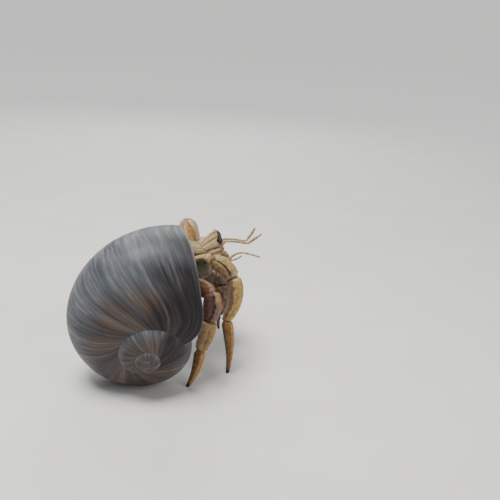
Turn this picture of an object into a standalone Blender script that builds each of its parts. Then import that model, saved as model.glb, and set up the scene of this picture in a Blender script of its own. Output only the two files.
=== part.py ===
"""Land hermit crab walking in a moon snail shell, life size.

The shell is a log spiral, grown by repeated extrusion round its axis. The crab has a frame of
its own in the mouth of the shell: X forward, Y to the crab's left, Z up, from the front edge of
its shield. Lengths are in metres.
"""
import math

import bmesh
import bpy
from mathutils import Matrix, Vector

mm = 0.001
joint_gap = 0.3 * mm
cutter_reach = 100.0 * mm

# where the model stands: the shell's axis above the floor, and the middle of the whole box
axis_height = 19.0 * mm
box_middle = (6.82 * mm, 5.19 * mm)

# moon snail shell
whorl_ratio = 2.7
lip_radius = 30.2 * mm
spire_drop = 22.5 * mm
base_depth = 21.2 * mm
navel_radius = 7.9 * mm
navel_floor = 34.0 * mm
tip_radius = 3.0 * mm
suture_angle = 80.0
overlap_angle = 32.0
lip_angle = 66.0
lip_offset = 14.3 * mm
lip_slant = 7.0
lip_bulge = (68.0 * mm, 8.0 * mm)
corner_radius = 14.5 * mm
corner_middle = (-3.0 * mm, 14.0 * mm)
corner_height = 26.0 * mm
wall = 1.5 * mm
axis_tilt = 15.6
axis_turn = -15.2
steps_per_turn = 30
whorls = 3
mouth_step = 5
hollow_steps = 20

# crab
body_place = (20.0 * mm, 5.5 * mm, 17.0 * mm)
body_turn = -8.0
ring_sides = 10
body_sides = 14
feeler_sides = 8
eye_size = (1.2 * mm, 0.95 * mm, 2.0 * mm)
eye_seat = 0.5 * mm
stalk_width = 1.4 * mm

step_angle = math.radians(360.0 / steps_per_turn)
step_growth = whorl_ratio ** (1.0 / steps_per_turn)
floor_level = -(body_place[2] + axis_height)


def clear_scene():
    for item in list(bpy.data.objects):
        bpy.data.objects.remove(item, do_unlink=True)


def make_material(name, color, roughness):
    material = bpy.data.materials.new(name)
    material.use_nodes = True
    surface = material.node_tree.nodes["Principled BSDF"]
    surface.inputs["Base Color"].default_value = (*color, 1.0)
    surface.inputs["Roughness"].default_value = roughness
    surface.inputs["Metallic"].default_value = 0.0
    material.diffuse_color = (*color, 1.0)
    return material


def make_frame(name, parent=None, location=(0.0, 0.0, 0.0), turn=(0.0, 0.0, 0.0)):
    frame = bpy.data.objects.new(name, None)
    bpy.context.scene.collection.objects.link(frame)
    frame.parent = parent
    frame.location = location
    frame.rotation_euler = [math.radians(angle) for angle in turn]
    return frame


def finish(name, bm, parent, material=None, location=(0.0, 0.0, 0.0)):
    bmesh.ops.recalc_face_normals(bm, faces=bm.faces)
    for face in bm.faces:
        face.smooth = True
    mesh = bpy.data.meshes.new(name)
    bm.to_mesh(mesh)
    bm.free()
    if material:
        mesh.materials.append(material)
    item = bpy.data.objects.new(name, mesh)
    bpy.context.scene.collection.objects.link(item)
    item.parent = parent
    item.location = location
    return item


def combine(item, operation, other):
    """Applies a Boolean with another solid, which is used up."""
    change = item.modifiers.new(operation, "BOOLEAN")
    change.operation = operation
    change.solver = "EXACT"
    change.object = other
    graph = bpy.context.evaluated_depsgraph_get()
    mesh = bpy.data.meshes.new_from_object(item.evaluated_get(graph))
    item.modifiers.clear()
    item.data = mesh
    bpy.data.objects.remove(other, do_unlink=True)


def box(parent, low, high):
    bm = bmesh.new()
    bmesh.ops.create_cube(bm, size=1.0)
    place = Matrix.Diagonal((*(Vector(high) - Vector(low)), 1.0))
    place.translation = (Vector(low) + Vector(high)) / 2
    bmesh.ops.transform(bm, matrix=place, verts=bm.verts)
    return finish("cutter", bm, parent)


def post(parent, middle, radius, sides):
    bm = bmesh.new()
    place = Matrix.Translation((*middle, 0.0))
    size = {"radius1": radius, "radius2": radius, "depth": 2 * cutter_reach}
    bmesh.ops.create_cone(bm, cap_ends=True, segments=sides, matrix=place, **size)
    return finish("cutter", bm, parent)


def new_verts(made):
    return [part for part in made["geom"] if isinstance(part, bmesh.types.BMVert)]


def new_edges(made):
    verts = set(new_verts(made))
    edges = [part for part in made["geom"] if isinstance(part, bmesh.types.BMEdge)]
    return [edge for edge in edges if verts.issuperset(edge.verts)]


# shell: sections are (distance from the axis, height), the apex of the spire is the origin

def whorl_point(angle, inset=0.0):
    """Point on the last whorl's section: 0 is its widest place, 90 the spire, -90 the base."""
    top, low = math.radians(suture_angle), math.radians(overlap_angle)
    centre = (math.cos(low) - whorl_ratio * math.cos(top)) / (whorl_ratio - 1.0)
    rise = (whorl_ratio * math.sin(top) - math.sin(low)) / (whorl_ratio - 1.0)
    across = lip_radius / (1.0 + centre)
    turn = math.radians(angle)
    sizes = Vector((across, spire_drop / rise))
    start = centre * across
    if angle < 0.0:
        sizes = Vector((lip_radius - navel_radius, base_depth))
        start = navel_radius
    spot = Vector((start + sizes.x * math.cos(turn), sizes.y * math.sin(turn) - spire_drop))
    normal = Vector((math.cos(turn) / sizes.x, math.sin(turn) / sizes.y)).normalized()
    return spot - normal * inset


def place_section(bm, points, step):
    """Vertices of a section at one step of the growth."""
    size = step_growth ** step
    angle = math.radians(lip_angle) - step * step_angle
    spots = [(r * math.cos(angle) * size, r * math.sin(angle) * size, h * size) for r, h in points]
    return [bm.verts.new(spot) for spot in spots]


def join_up(bm, verts):
    return [bm.edges.new(pair) for pair in zip(verts, verts[1:])]


def grow(bm, edges, steps):
    """Extrudes edges along the spiral, turning and enlarging them at each step."""
    turn = Matrix.Rotation(-step_angle, 4, "Z") @ Matrix.Scale(step_growth, 4)
    for _ in range(steps):
        made = bmesh.ops.extrude_edge_only(bm, edges=edges)
        bmesh.ops.transform(bm, matrix=turn, verts=new_verts(made))
        edges = new_edges(made)
    return edges


def close_to_axis(bm, edges, height):
    made = bmesh.ops.extrude_edge_only(bm, edges=edges)
    bmesh.ops.pointmerge(bm, verts=new_verts(made), merge_co=(0.0, 0.0, height))


def on_tip(vert):
    return vert.co.length < tip_radius


def on_navel(vert):
    return vert.co.xy.length < 1.05 * navel_radius / (spire_drop + base_depth) * abs(vert.co.z)


def solid_shell(frame, material):
    """All the whorls filled solid; the last turn alone has its base and is closed at its mouth."""
    bm = bmesh.new()
    upper = [whorl_point(angle) for angle in (suture_angle, 68, 56, 44, overlap_angle)]
    lower = [whorl_point(angle) for angle in (20, 8, -6, -20, -34, -48, -62, -76, -90)]
    last_turn = mouth_step - steps_per_turn
    start = place_section(bm, upper, mouth_step - whorls * steps_per_turn)
    edges = grow(bm, join_up(bm, start), (whorls - 1) * steps_per_turn)
    seam = min({vert for edge in edges for vert in edge.verts}, key=lambda vert: vert.co.z)
    edges += join_up(bm, [seam] + place_section(bm, lower, last_turn))
    grow(bm, edges, steps_per_turn)
    bmesh.ops.remove_doubles(bm, verts=bm.verts, dist=0.01 * mm)
    rims = [edge for edge in bm.edges if edge.is_boundary]
    close_to_axis(bm, [edge for edge in rims if all(map(on_tip, edge.verts))], 0.0)
    close_to_axis(bm, [edge for edge in rims if all(map(on_navel, edge.verts))], -navel_floor)
    mouth = [edge for edge in bm.edges if edge.is_boundary]
    bmesh.ops.contextual_create(bm, geom=mouth)
    return finish("shell", bm, frame, material)


def chamber_section():
    """The space inside the last whorl, between its wall, the pillar and the whorl before."""
    outer = [whorl_point(angle, wall) for angle in (68, 54, 40, 24, 8, -8, -24, -40, -56, -72)]
    pillar = [Vector((radius, -height)) * mm for radius, height in ((7.6, 38), (6.9, 27), (6.6, 19))]
    whorl_before = [whorl_point(angle, -2.0 * mm) / whorl_ratio for angle in (-60, -35, -10, 10)]
    return outer + pillar + whorl_before


def chamber(frame, first, last):
    bm = bmesh.new()
    verts = place_section(bm, chamber_section(), first)
    edges = join_up(bm, verts + verts[:1])
    bmesh.ops.contextual_create(bm, geom=edges)
    edges = grow(bm, edges, last - first)
    bmesh.ops.contextual_create(bm, geom=edges)
    return finish("cutter", bm, frame)


def make_shell(frame, floor_frame, material):
    shell = solid_shell(frame, material)
    combine(shell, "DIFFERENCE", chamber(frame, -hollow_steps, mouth_step + 1))
    reach = cutter_reach
    lip_place = (lip_offset, 0.0, -spire_drop)
    lip_frame = make_frame("lip frame", frame, lip_place, (0.0, lip_slant, 0.0))
    bpy.context.view_layer.update()
    mouth = box(lip_frame, (-lip_radius / 2, -0.1 * lip_radius, -reach), (reach, reach, reach))
    combine(mouth, "DIFFERENCE", post(lip_frame, (-lip_bulge[0], lip_bulge[1]), lip_bulge[0], 240))
    combine(shell, "DIFFERENCE", mouth)
    corner = box(frame, (0.0, -lip_radius, -reach), (reach, corner_middle[1], -corner_height))
    combine(corner, "DIFFERENCE", post(frame, corner_middle, corner_radius, 60))
    combine(shell, "DIFFERENCE", corner)
    cut_floor(shell, floor_frame)


def cut_floor(item, floor_frame):
    reach = cutter_reach
    combine(item, "DIFFERENCE", box(floor_frame, (-reach, -reach, -reach), (reach, reach, 0.0)))


# crab: every piece is a loft of oval rings along a path

def loft(name, frame, stations, material, across=(0.0, 1.0, 0.0), sides=ring_sides, spread=0.0):
    """Closes oval rings into a solid; a station is a point, a half width and a half depth."""
    points = [Vector(station[0]) for station in stations]
    places = []
    for index, (_, half_width, half_depth) in enumerate(stations):
        before, after = points[max(index - 1, 0)], points[min(index + 1, len(points) - 1)]
        along = (after - before).normalized()
        side = (Vector(across) - along * along.dot(Vector(across))).normalized()
        up = along.cross(side)
        end = (index == len(points) - 1) - (index == 0)
        sizes = (side * (half_width + spread), up * (half_depth + spread), along)
        place = Matrix(sizes).transposed().to_4x4()
        place.translation = points[index] + along * end * spread - points[0]
        places.append(place)
    bm = bmesh.new()
    bmesh.ops.create_circle(bm, cap_ends=False, radius=1.0, segments=sides, matrix=places[0])
    edges = bm.edges[:]
    bmesh.ops.contextual_create(bm, geom=edges)
    for last, place in zip(places, places[1:]):
        made = bmesh.ops.extrude_edge_only(bm, edges=edges)
        bmesh.ops.transform(bm, matrix=place @ last.inverted(), verts=new_verts(made))
        edges = new_edges(made)
    bmesh.ops.contextual_create(bm, geom=edges)
    return finish(name, bm, frame, material, points[0])


def millimetres(*point):
    return Vector(point) * mm


def mirrored(point, side):
    return Vector((point[0], point[1] * side, point[2])) * mm


def round_stations(route, side=1, flatness=1.0):
    """Rings along a route of points and thicknesses, on one side of the crab."""
    return [(mirrored(spot, side), size * mm / 2 * flatness, size * mm / 2) for spot, size in route]


def limb_stations(start, end, start_size, end_size, up, bow):
    """Rings from one joint to the next: rounded at both ends, arched towards up."""
    stations = []
    for t, fullness in ((0.0, 0.6), (0.14, 1.0), (0.42, 1.08), (0.72, 1.0), (0.92, 0.94), (1.0, 0.55)):
        middle = start.lerp(end, t) + up * bow * 4.0 * t * (1.0 - t)
        width, depth = (a + (b - a) * t for a, b in zip(start_size, end_size))
        stations.append((middle, width * fullness / 2, depth * fullness / 2))
    return stations


def make_limb(names, frame, joints, sizes, bows, material, body):
    """Jointed limb: each piece is cut back from the one before, so that it seats on its end."""
    bends = [(a + c) / 2 - b for a, b, c in zip(joints, joints[1:], joints[2:])]
    bend = sum(bends, Vector())
    before = body
    for index, name in enumerate(names):
        start, end = joints[index], joints[index + 1]
        along = (end - start).normalized()
        up = -(bend - along * bend.dot(along)).normalized()
        stations = limb_stations(start, end, sizes[index], sizes[index + 1], up, bows[index])
        piece = loft(name, frame, stations, material, along.cross(up))
        combine(piece, "DIFFERENCE", before(joint_gap))
        before = keep_shape(frame, stations, along.cross(up))
    return piece, before


def keep_shape(frame, stations, across=(0.0, 1.0, 0.0), sides=ring_sides):
    """Makes spread copies of a loft for cutting its neighbours."""
    return lambda spread: loft("cutter", frame, stations, None, across, sides, spread)


leg_parts = ("merus", "carpus", "propodus", "dactyl")
leg_sizes = ((3.0, 4.0), (3.6, 4.8), (4.0, 5.2), (3.0, 3.9), (0.9, 1.1))
stout_leg = "leg_3_left"
stout_scales = (1.0, 1.25, 1.2, 1.15, 1.0)
leg_bows = (0.6, 0.5, 0.2, 0.9)
leg_joints = {
    "leg_2_right": ((-7, -5, -5), (0.8, -10, 0.5), (8.2, -12, -5), (5.2, -12.4, -18.6)),
    "leg_2_left": ((-0.5, 4.6, -4.5), (2.2, 11.4, -0.2), (6.6, 14, -9), (7.5, 14.5, -21)),
    "leg_3_right": ((-9, -4.5, -8.6), (-0.6, -17, -7.3), (-1.2, -18, -15.6), (-3.6, -17, -25.9)),
    "leg_3_left": ((-3, 4.6, -8.6), (-2.9, 17, 2.4), (0.2, 21.2, -6.6), (0, 21.5, -21)),
}
leg_toes = {
    "leg_2_right": (5.8, -14.5),
    "leg_2_left": (10, 16.5),
    "leg_3_right": (-8, -20.5),
    "leg_3_left": (-3.5, 25),
}
toe_cut = 0.25 * mm
claw_parts = ("arm", "wrist")
claw_sizes = ((2.2, 2.8), (2.5, 3.2), (2.8, 3.4))
claw_bows = (0.3 * mm, 0.4 * mm)
claw_shapes = {
    "claw_right": {
        "side": -1,
        "scale": 1.0,
        "arm": ((-0.5, 3.2, -8), (3.4, 4.6, -6.4), (5.8, 4.6, -9.8)),
        "palm_end": (5.9, 3.9, -16.5),
        "tip": (5.2, 3.2, -21.5),
    },
    "claw_left": {
        "side": 1,
        "scale": 1.5,
        "arm": ((0.2, 3.2, -8.6), (4.8, 5.8, -7.6), (7.6, 7.4, -11)),
        "palm_end": (8.6, 6, -20),
        "tip": (7.6, 4.2, -27),
    },
}


def make_legs(frame, stand, material, body):
    for name, joints in leg_joints.items():
        spots = [millimetres(*joint) for joint in joints]
        toe_x, toe_y = leg_toes[name]
        spots.append(Vector((toe_x * mm, toe_y * mm, floor_level - toe_cut)))
        names = [name + "_" + part for part in leg_parts]
        scales = stout_scales if name == stout_leg else (1.0,) * len(spots)
        sizes = [Vector(size) * scale * mm for size, scale in zip(leg_sizes, scales)]
        toe, _ = make_limb(names, frame, spots, sizes, [bow * mm for bow in leg_bows], material, body)
        cut_floor(toe, stand)


def make_claws(frame, material, body):
    """Two arms folded in front of the mouth, the left with the large hand."""
    for name, shape in claw_shapes.items():
        side, unit = shape["side"], shape["scale"] * mm
        spots = [mirrored(spot, side) for spot in shape["arm"]]
        palm_end, tip = mirrored(shape["palm_end"], side), mirrored(shape["tip"], side)
        sizes = [Vector(size) * unit for size in claw_sizes]
        names = [name + "_" + part for part in claw_parts]
        _, wrist_shape = make_limb(names, frame, spots, sizes, claw_bows, material, body)
        wrist = spots[-1]
        along = (palm_end - wrist).normalized()
        forward = Vector((1.0, 0.0, 0.0))
        forward = (forward - along * along.dot(forward)).normalized()
        across = along.cross(forward)
        palm = [
            (wrist, 1.1 * unit, 1.3 * unit),
            (wrist.lerp(palm_end, 0.16), 1.7 * unit, 2.2 * unit),
            (wrist.lerp(palm_end, 0.5), 2.0 * unit, 2.9 * unit),
            (wrist.lerp(palm_end, 0.85) - forward * 0.2 * unit, 1.8 * unit, 2.6 * unit),
            (palm_end - forward * 1.3 * unit, 1.2 * unit, 1.3 * unit),
            (palm_end.lerp(tip, 0.5) - forward * 1.1 * unit, 0.9 * unit, 0.9 * unit),
            (tip - forward * 0.2 * unit, 0.4 * unit, 0.4 * unit),
        ]
        finger = [
            (wrist.lerp(palm_end, 0.8) + forward * 1.3 * unit, 0.9 * unit, 1.0 * unit),
            (palm_end + forward * 1.5 * unit, 1.1 * unit, 1.2 * unit),
            (palm_end.lerp(tip, 0.5) + forward * 1.3 * unit, 0.9 * unit, 0.9 * unit),
            (tip + forward * 0.7 * unit, 0.4 * unit, 0.4 * unit),
        ]
        hand = loft(name + "_hand", frame, palm, material, across)
        combine(hand, "DIFFERENCE", wrist_shape(joint_gap))
        thumb = loft(name + "_finger", frame, finger, material, across)
        combine(thumb, "DIFFERENCE", keep_shape(frame, palm, across)(joint_gap))


def level_stations(rings):
    """Rings of a piece that lies level along the middle: forward place, height, width and depth."""
    return [((x * mm, 0.0, z * mm), width * mm / 2, depth * mm / 2) for x, z, width, depth in rings]


def make_body(frame, flesh, plate):
    thorax = level_stations((
        (-16.5, -2.8, 4.0, 4.0), (-15.0, -3.2, 7.6, 6.6), (-9.0, -4.8, 10.4, 8.4),
        (-3.0, -5.4, 10.0, 8.0), (0.0, -5.0, 8.4, 6.4), (1.2, -4.6, 5.2, 4.0),
    ))
    shield = level_stations((
        (-13.0, 0.2, 5.6, 1.0), (-12.0, 0.4, 8.6, 2.2), (-6.5, 0.4, 10.2, 3.6),
        (-1.5, 0.1, 9.6, 3.2), (0.3, -0.3, 7.2, 2.0), (1.0, -0.5, 3.6, 1.0),
    ))
    loft("shield", frame, shield, plate, sides=body_sides)
    body = loft("thorax", frame, thorax, flesh, sides=body_sides)
    combine(body, "DIFFERENCE", keep_shape(frame, shield, sides=body_sides)(joint_gap))
    return keep_shape(frame, thorax, sides=body_sides), keep_shape(frame, shield, sides=body_sides)


def make_head(frame, crust, eye_material, body, cover):
    """Flat eyestalks with an eye across each end, and the bent inner feelers below them."""
    eyes = {
        "right": (-1, (-0.6, 1.7, 0.6), (3.5, 2.7, 3.6)),
        "left": (1, (-0.4, 1.7, 0.4), (4.3, 2.6, 3.3)),
    }
    stalk_depths = ((0.0, 2.8), (0.3, 3.2), (0.7, 3.5), (1.0, 3.6))
    feeler = (
        ((0.9, 0.9, -1.6), 0.9), ((3.6, 1.0, -0.4), 1.0), ((6.0, 1.1, 2.2), 0.8),
        ((6.8, 1.1, 2.7), 0.75), ((10.2, 1.2, 2.5), 0.7), ((13.4, 1.2, 1.9), 0.7),
        ((14.4, 1.3, 2.3), 0.75), ((15.8, 1.5, 3.8), 0.9), ((16.8, 1.6, 5.0), 0.6),
    )
    for name, (side, root, top) in eyes.items():
        root, top = mirrored(root, side), mirrored(top, side)
        stalk = [(root.lerp(top, t), stalk_width / 2, depth * mm / 2) for t, depth in stalk_depths]
        item = loft("eyestalk_" + name, frame, stalk, crust)
        combine(item, "DIFFERENCE", cover(joint_gap))
        combine(item, "DIFFERENCE", make_eye("cutter", frame, root, top, None, joint_gap))
        make_eye("eye_" + name, frame, root, top, eye_material)
        stations = round_stations(feeler, side)
        item = loft("antennule_" + name, frame, stations, crust, sides=feeler_sides)
        combine(item, "DIFFERENCE", body(joint_gap))
        combine(item, "DIFFERENCE", cover(joint_gap))


def make_eye(name, frame, root, top, material, spread=0.0):
    """Tall oval eye across the end of its stalk."""
    along = (top - root).normalized()
    side = Vector((0.0, 1.0, 0.0))
    side = (side - along * along.dot(side)).normalized()
    up = along.cross(side)
    sizes = [size + spread for size in eye_size]
    place = Matrix((along * sizes[0], side * sizes[1], up * sizes[2])).transposed().to_4x4()
    bm = bmesh.new()
    bmesh.ops.create_icosphere(bm, subdivisions=2, radius=1.0, matrix=place)
    return finish(name, bm, frame, material, top + along * eye_seat)


def make_antennae(frame, material, body):
    """Outer feelers: three stout pieces and a thin whip, joined in one."""
    routes = {
        "antenna_right": (
            (0.8, -2.8, -4.1), (3.4, -3.1, -3.3), (6.4, -3.5, -2.2), (7.8, -3.6, -1.6),
            (9.4, -3.8, -0.6), (11.4, -4.1, -0.1), (14.0, -4.9, -0.5), (16.8, -6.0, -1.2),
        ),
        "antenna_left": (
            (0.8, 2.8, -4.1), (3.3, 3.0, -3.8), (5.6, 3.4, -3.6), (7.0, 3.5, -4.0),
            (8.6, 3.5, -5.0), (10.2, 3.4, -5.3), (11.8, 3.2, -4.8), (13.4, 3.0, -3.7),
        ),
    }
    sizes = (2.2, 2.7, 2.2, 1.3, 0.72, 0.64, 0.6, 0.56)
    for name, route in routes.items():
        item = loft(name, frame, round_stations(zip(route, sizes)), material, sides=feeler_sides)
        combine(item, "DIFFERENCE", body(joint_gap))


def make_mouth(frame, material, body):
    route = (
        ((0.2, 1.5, -5.4), 1.6), ((2.4, 1.6, -5.9), 1.9), ((3.6, 1.5, -7.4), 1.7),
        ((3.4, 1.4, -9.4), 1.3), ((2.6, 1.3, -10.6), 0.8),
    )
    for side, name in ((-1, "right"), (1, "left")):
        stations = round_stations(route, side, 0.72)
        item = loft("mouthpart_" + name, frame, stations, material, sides=feeler_sides)
        combine(item, "DIFFERENCE", body(joint_gap))


def make_abdomen(frame, material, body, cover):
    """Soft hind body, curling back round the pillar of the shell; rings by growth step."""
    rings = (
        (-1, 14.8, 33.0, 3.4), (-2, 14.9, 32.4, 4.6), (-3, 15.0, 31.5, 5.2), (-5, 15.2, 30.0, 5.3),
        (-7, 15.2, 29.0, 5.2), (-9, 15.0, 28.0, 5.0), (-11, 14.8, 27.5, 4.5), (-13, 14.6, 27.0, 3.8),
        (-15, 14.4, 27.0, 2.8), (-16, 14.2, 27.0, 1.6),
    )
    stations = []
    for step, radius, height, size in rings:
        angle = math.radians(lip_angle) - step * step_angle
        spot = Vector((radius * math.cos(angle), radius * math.sin(angle), -height))
        stations.append((spot * step_growth ** step * mm, size * mm, size * mm))
    abdomen = loft("abdomen", frame, stations, material, (0.0, 0.0, 1.0), 12)
    combine(abdomen, "DIFFERENCE", body(joint_gap))
    combine(abdomen, "DIFFERENCE", cover(joint_gap))


def make_hind_legs(frame, material, body):
    """The small fourth legs, folded against the sides inside the shell."""
    route = (
        ((-10.8, 3.2, -3.2), 1.6), ((-10.6, 4.6, -2.4), 1.6), ((-10.0, 5.2, -1.8), 1.3),
        ((-9.2, 5.4, -1.2), 1.1), ((-8.4, 5.3, -0.7), 0.7),
    )
    for side, name in ((-1, "right"), (1, "left")):
        stations = [(spot, width, 1.2 * depth) for spot, width, depth in round_stations(route, side)]
        item = loft("leg_4_" + name, frame, stations, material, sides=feeler_sides)
        combine(item, "DIFFERENCE", body(joint_gap))


clear_scene()
horn = make_material("horn", (0.40, 0.26, 0.12), 0.42)
plate = make_material("shield plate", (0.36, 0.33, 0.22), 0.38)
flesh = make_material("flesh", (0.42, 0.24, 0.16), 0.5)
cornea = make_material("eye", (0.012, 0.010, 0.009), 0.12)
claw = make_material("claw", (0.24, 0.15, 0.10), 0.4)
stand = make_frame("stand", location=(-box_middle[0], -box_middle[1], 0.0))
tilt = math.radians(axis_tilt)
apex = Vector((0.0, -spire_drop * math.cos(tilt), -spire_drop * math.sin(tilt)))
apex.rotate(Matrix.Rotation(math.radians(axis_turn), 3, "Z"))
apex.z += axis_height
shell_frame = make_frame("shell frame", stand, apex, (axis_tilt + 90.0, 0.0, axis_turn))
crab = make_frame("crab", stand, (*body_place[:2], -floor_level), (0.0, 0.0, body_turn))
bpy.context.view_layer.update()
make_shell(shell_frame, stand, make_material("shell", (0.17, 0.17, 0.185), 0.35))
body, cover = make_body(crab, flesh, plate)
make_legs(crab, stand, horn, body)
make_claws(crab, claw, body)
make_head(crab, horn, cornea, body, cover)
make_antennae(crab, horn, body)
make_mouth(crab, claw, body)
make_hind_legs(crab, horn, body)
make_abdomen(shell_frame, flesh, body, cover)
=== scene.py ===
# Land hermit crab in a moon snail shell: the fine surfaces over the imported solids.
# Shapes are worked out in millimetres in two frames, the shell's and the crab's, and placed in metres.
import math
import random

import bmesh
import bpy
from mathutils import Matrix, Vector, noise


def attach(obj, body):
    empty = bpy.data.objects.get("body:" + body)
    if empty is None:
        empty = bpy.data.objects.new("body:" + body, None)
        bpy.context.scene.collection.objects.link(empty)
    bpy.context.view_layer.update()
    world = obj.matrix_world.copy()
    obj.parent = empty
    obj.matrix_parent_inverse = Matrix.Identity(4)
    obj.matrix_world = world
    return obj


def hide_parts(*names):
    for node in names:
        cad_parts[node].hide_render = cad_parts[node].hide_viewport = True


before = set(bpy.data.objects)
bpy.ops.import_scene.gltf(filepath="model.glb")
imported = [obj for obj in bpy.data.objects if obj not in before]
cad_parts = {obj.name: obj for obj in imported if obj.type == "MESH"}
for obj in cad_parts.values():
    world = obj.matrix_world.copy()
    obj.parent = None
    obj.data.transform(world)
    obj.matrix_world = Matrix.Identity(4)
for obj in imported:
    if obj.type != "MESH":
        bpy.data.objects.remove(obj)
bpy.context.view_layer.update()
dice = random.Random(7)

# where the shell and the crab stand; the crab's own place is the front edge of its shield
stand = {
    "middle": (-6.82, -5.19), "shellAxis": 19.0, "shellTilt": 15.6, "shellTurn": -15.2, "spireDrop": 22.5,
    "crab": (13.18, 0.31, 36.0), "crabTurn": -8.0,
}
forward, leftward, upward = Vector((1, 0, 0)), Vector((0, 1, 0)), Vector((0, 0, 1))


def turned(angle, axis):
    return Matrix.Rotation(math.radians(angle), 4, axis)


millimetres = Matrix.Scale(0.001, 4)
crabFrame = millimetres @ Matrix.Translation(stand["crab"]) @ turned(stand["crabTurn"], "Z")
apex = Vector((0, -stand["spireDrop"], 0))
apex = turned(stand["shellTurn"], "Z") @ turned(stand["shellTilt"], "X") @ apex
apex += Vector((*stand["middle"], stand["shellAxis"]))
shellFrame = millimetres @ Matrix.Translation(apex) @ turned(stand["shellTurn"], "Z")
shellFrame = shellFrame @ turned(90 + stand["shellTilt"], "X")


# shader values

class Value:
    # a shader socket; the operators add Math nodes
    def __init__(self, finish, socket):
        self.finish = finish
        self.socket = socket

    def math(self, operation, *values):
        return self.finish.node("Math", dict(enumerate(values)), operation=operation)

    def __add__(self, other):
        return self.math("ADD", self, other)

    __radd__ = __add__

    def __sub__(self, other):
        return self.math("SUBTRACT", self, other)

    def __rsub__(self, other):
        return self.math("SUBTRACT", other, self)

    def __mul__(self, other):
        return self.math("MULTIPLY", self, other)

    __rmul__ = __mul__

    def __abs__(self):
        return self.math("ABSOLUTE", self)

    def over(self, low, high):
        # 0 below low, 1 above high, smooth between
        sockets = {"Value": self, "From Min": low, "From Max": high}
        return self.finish.node("MapRange", sockets, interpolation_type="SMOOTHSTEP")

    def band(self, middle, half):
        return 1 - abs(self - middle).over(0.0, half)


class Finish:
    # one material, with the few kinds of node that the finishes share
    def __init__(self, name, roughness=0.4, **sockets):
        self.material = bpy.data.materials.new(name)
        self.material.use_nodes = True
        self.tree = self.material.node_tree
        self.surface = self.tree.nodes["Principled BSDF"]
        self.set(Roughness=roughness, **sockets)

    def set(self, **sockets):
        for name, value in sockets.items():
            self.join(value, self.surface.inputs[name.replace("_", " ")])

    def join(self, value, socket):
        if isinstance(value, Value):
            self.tree.links.new(value.socket, socket)
        elif socket.type == "RGBA":
            socket.default_value = (*value, 1.0)
        else:
            socket.default_value = value

    def node(self, kind, sockets, out=0, stops=None, **settings):
        made = self.tree.nodes.new("ShaderNode" + kind)
        for name, value in settings.items():
            setattr(made, name, value)
        if stops:
            while len(made.color_ramp.elements) < len(stops):
                made.color_ramp.elements.new(1.0)
            for element, (place, color) in zip(made.color_ramp.elements, stops):
                element.position = place
                element.color = (*color, 1.0)
        for name, value in sockets.items():
            self.join(value, made.inputs[name])
        return Value(self, made.outputs[out])

    def mix(self, a, b, factor, blend="MIX"):
        return self.node("Mix", {0: factor, 6: a, 7: b}, 2, data_type="RGBA", blend_type=blend)

    def ramp(self, value, stops):
        return self.node("ValToRGB", {0: value}, stops=stops)

    def attribute(self, name, out="Fac"):
        return self.node("Attribute", {}, out, attribute_name=name)

    def parts(self, vector):
        split = self.node("SeparateXYZ", {0: vector})
        return [Value(self, socket) for socket in split.socket.node.outputs]

    def stretched(self, vector, scale):
        return self.node("VectorMath", {0: vector, 1: scale}, operation="MULTIPLY")

    def objectPlace(self):
        return self.node("TexCoord", {}, "Object")

    def noise(self, vector, scale, detail=3.0, rough=0.5):
        sockets = {"Vector": vector, "Scale": scale, "Detail": detail, "Roughness": rough}
        return self.node("TexNoise", sockets)

    def bump(self, height, depth):
        self.set(Normal=self.node("Bump", {"Strength": 1.0, "Distance": depth, "Height": height}))


# meshes

def newVerts(made):
    return [part for part in made["geom"] if isinstance(part, bmesh.types.BMVert)]


def newEdges(made):
    verts = set(newVerts(made))
    edges = [part for part in made["geom"] if isinstance(part, bmesh.types.BMEdge)]
    return [edge for edge in edges if verts.issuperset(edge.verts)]


def startMesh():
    # "part" holds each point's place on its piece: across, up and along; "grain" its raised grains
    bm = bmesh.new()
    bm.verts.layers.float_vector.new("part")
    bm.verts.layers.float.new("grain")
    return bm


def addToScene(name, data):
    made = bpy.data.objects.new(name, data)
    bpy.context.scene.collection.objects.link(made)
    return made


def meshFrom(name, bm):
    for face in bm.faces:
        face.smooth = True
    mesh = bpy.data.meshes.new(name)
    bm.to_mesh(mesh)
    bm.free()
    return mesh


def finishPiece(name, bm, place, finish, nodes=()):
    bmesh.ops.recalc_face_normals(bm, faces=bm.faces)
    bmesh.ops.transform(bm, matrix=place, verts=bm.verts)
    piece = addToScene(name, meshFrom(name, bm))
    piece.data.materials.append(finishes[finish].material)
    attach(piece, "root")
    if nodes:
        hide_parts(*nodes)


def squareTo(vector, along):
    # the direction of a vector's part at right angles to another
    return (vector - along * along.dot(vector)).normalized()


def easeIn(t):
    t = min(max(t, 0.0), 1.0)
    return t * t * (3 - 2 * t)


def curveAt(values, t):
    # a smooth value at t, from 0 to 1, through evenly spaced values
    last = len(values) - 1
    spot = min(max(t, 0.0), 1.0) * last
    i = min(int(spot), last - 1)
    f = spot - i
    a, b, c, d = (values[min(max(k, 0), last)] for k in (i - 1, i, i + 1, i + 2))
    line = 2 * b + (c - a) * f
    bend = (2 * a - 5 * b + 4 * c - d) * f ** 2
    return 0.5 * (line + bend + (3 * b - a - 3 * c + d) * f ** 3)


def evenly(start, end, steps=4):
    return [start.lerp(end, k / steps) for k in range(steps + 1)]


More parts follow.
